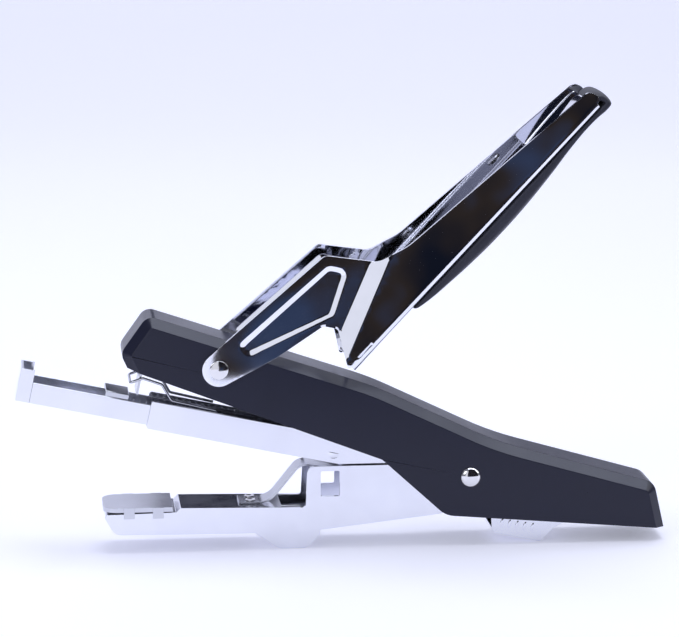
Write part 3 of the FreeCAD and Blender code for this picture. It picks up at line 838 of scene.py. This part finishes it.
print("springs, wire, rivets and ribs grown")


# Leaf spring between the arm and the magazine, kept rigid on the arm; it does not flatten here as the
# arm closes

leaf = softened("arm_leaf_spring", "arm", "springSteel", 0.12, 2, 40)
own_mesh(leaf)


# Small pressings on the magazine channel

louvrePlan = {"u": 46.6, "h": -1.0, "radius": 2.0, "rise": 0.55, "wall": 8.4, "sunk": 0.1,
               "rings": 6, "steps": 20}


def halfMoon(name, side):
    # A half-round louvre, standing out at its straight edge and sinking into the wall at its arc.
    plan = louvrePlan
    verts, faces = [], []
    for layer in (0, 1):
        for i in range(plan["rings"] + 1):
            radius = plan["radius"] * i / plan["rings"]
            for k in range(plan["steps"] + 1):
                turn = math.pi * (1 + k / plan["steps"])
                out, low = radius * math.cos(turn), radius * math.sin(turn)
                rise = plan["rise"] * (1 - (i / plan["rings"]) ** 2) * layer
                y = side * (plan["wall"] - plan["sunk"] + plan["sunk"] * layer + rise)
                verts.append(onMagazine(plan["u"] + out, y, plan["h"] + low))
    wide = plan["steps"] + 1
    deep = wide * (plan["rings"] + 1)
    for layer in (0, deep):
        for i in range(plan["rings"]):
            for k in range(plan["steps"]):
                low = layer + i * wide + k
                faces.append((low, low + 1, low + wide + 1, low + wide))
    rim = [plan["rings"] * wide + k for k in range(wide)]
    faces += [(a, b, b + deep, a + deep) for a, b in zip(rim, rim[1:])]
    for end in (0, plan["steps"]):
        line = [i * wide + end for i in range(plan["rings"] + 1)]
        faces += [(a, b, b + deep, a + deep) for a, b in zip(line, line[1:])]
    return addPiece(name, verts, faces, "nickelPlate", "magazine", (), 30)


for name, side in (("channelLouvreNear", -1), ("channelLouvreFar", 1)):
    halfMoon(name, side)
print("pressings added")


# Floor, backdrop and lights

sweepPlan = {"front": -2.2, "back": 1.1, "curve": 0.8, "top": 3.2, "half": 3.0}
floorGlow = 0.3


def studioWhite():
    material, _, shader = newMaterial("studioWhite")
    setShader(shader, {"Base Color": (0.81, 0.815, 0.93, 1), "Roughness": 0.55,
                       "Emission Color": (0.84, 0.862, 1.0, 1), "Emission Strength": floorGlow})
    return material


def addSweep(plan):
    # One curved sheet: floor, cove and wall.
    rows = [(plan["front"], 0.0), (plan["back"], 0.0)]
    for k in range(1, 25):
        turn = math.radians(90 * k / 24)
        rows.append((plan["back"] + plan["curve"] * math.sin(turn),
                     plan["curve"] * (1 - math.cos(turn))))
    rows.append((rows[-1][0], plan["top"]))
    verts = [(side * plan["half"], y, z) for y, z in rows for side in (-1, 1)]
    faces = [(2 * k, 2 * k + 1, 2 * k + 3, 2 * k + 2) for k in range(len(rows) - 1)]
    mesh = bpy.data.meshes.new("studioSweep")
    mesh.from_pydata(verts, [], faces)
    for face in mesh.polygons:
        face.use_smooth = True
    sweep = bpy.data.objects.new("studioSweep", mesh)
    bpy.context.collection.objects.link(sweep)
    mesh.materials.append(studioWhite())


# Cards seen only in reflections; a mottled one is a dark cloth with faint folds
cardPlans = {
    "darkFlag": {"centre": (0.274, -0.30, 0.27), "size": (0.60, 0.54), "faces": (0, 1, 0), "glow": 0.02,
                 "colour": (0.5, 0.6, 1.0), "mottled": True},
    "leftCard": {"centre": (-0.10, -0.40, 0.17), "size": (0.14, 0.34), "faces": (0, 1, 0), "glow": 0.95,
                 "colour": (0.88, 0.90, 1.0)},
    "overheadCard": {"centre": (0.55, -0.27, 1.4), "size": (1.7, 0.5), "faces": (0, 0, -1), "glow": 4.9,
                     "colour": (0.80, 0.85, 1.0)},
    "rearFlag": {"centre": (0.02, 0.90, 0.28), "size": (0.09, 0.26), "faces": (0, -1, 0), "glow": 0.03,
                 "colour": (0.5, 0.55, 1.0)},
    "tailFlag": {"centre": (0.42, 0.90, 0.25), "size": (0.40, 0.24), "faces": (0, -1, 0), "glow": 0.05,
                 "colour": (0.5, 0.55, 1.0)},
}


def addCard(name, plan):
    material = bpy.data.materials.new(name)
    material.use_nodes = True
    tree = material.node_tree
    tree.nodes.clear()
    glow = tree.nodes.new("ShaderNodeEmission")
    glow.inputs["Color"].default_value = (*plan["colour"], 1)
    glow.inputs["Strength"].default_value = plan["glow"]
    if plan.get("mottled"):
        folds = noise(tree, objectPattern(tree), 14, 3, 0.6)
        stops = [(0.42, (0.3, 0.4, 0.8)), (0.55, (1.3, 1.0, 0.9)), (0.68, (1.6, 2.4, 5.0))]
        tree.links.new(tint(tree, folds, stops), glow.inputs["Color"])
    out = tree.nodes.new("ShaderNodeOutputMaterial")
    tree.links.new(glow.outputs[0], out.inputs["Surface"])
    wide, high = (part / 2 for part in plan["size"])
    mesh = bpy.data.meshes.new(name)
    corners = [(-wide, -high, 0), (wide, -high, 0), (wide, high, 0), (-wide, high, 0)]
    mesh.from_pydata(corners, [], [(0, 1, 2, 3)])
    card = bpy.data.objects.new(name, mesh)
    bpy.context.collection.objects.link(card)
    card.location = plan["centre"]
    card.rotation_euler = Vector(plan["faces"]).to_track_quat("Z", "Y").to_euler()
    mesh.materials.append(material)
    card.visible_camera = False
    card.visible_diffuse = False
    card.visible_shadow = False
    card.visible_transmission = False


lampPlans = {
    "overheadBox": {"place": (0.1, 0.15, 1.5), "aim": (0, 0, 0), "size": (1.3, 1.0), "power": 14,
                    "colour": (0.93, 0.96, 1.0)},
    "frontLeftBox": {"place": (-1.3, -1.3, 1.0), "aim": (0, 0, 0.05), "size": (0.9, 0.9), "power": 8,
                     "colour": (0.95, 0.97, 1.0)},
    "rightBox": {"place": (1.5, -0.4, 0.9), "aim": (0, 0, 0.05), "size": (0.8, 0.8), "power": 5,
                 "colour": (0.95, 0.97, 1.0)},
}


def addLamp(name, plan):
    lamp = bpy.data.lights.new(name, "AREA")
    lamp.shape = "RECTANGLE"
    lamp.size, lamp.size_y = plan["size"]
    lamp.energy = plan["power"]
    lamp.color = plan["colour"]
    box = bpy.data.objects.new(name, lamp)
    bpy.context.collection.objects.link(box)
    box.location = plan["place"]
    look = Vector(plan["aim"]) - Vector(plan["place"])
    box.rotation_euler = look.to_track_quat("-Z", "Y").to_euler()


roomPlan = {"colour": (0.83, 0.86, 1.0), "strength": 0.30}


def lightRoom(colour, strength):
    world = bpy.data.worlds.new("studioRoom")
    world.use_nodes = True
    room = world.node_tree.nodes["Background"]
    room.inputs["Color"].default_value = (*colour, 1)
    room.inputs["Strength"].default_value = strength
    bpy.context.scene.world = world


addSweep(sweepPlan)
for name, plan in cardPlans.items():
    addCard(name, plan)
for name, plan in lampPlans.items():
    addLamp(name, plan)
lightRoom(**roomPlan)
bpy.context.scene.view_settings.view_transform = "Standard"
print("studio lit")
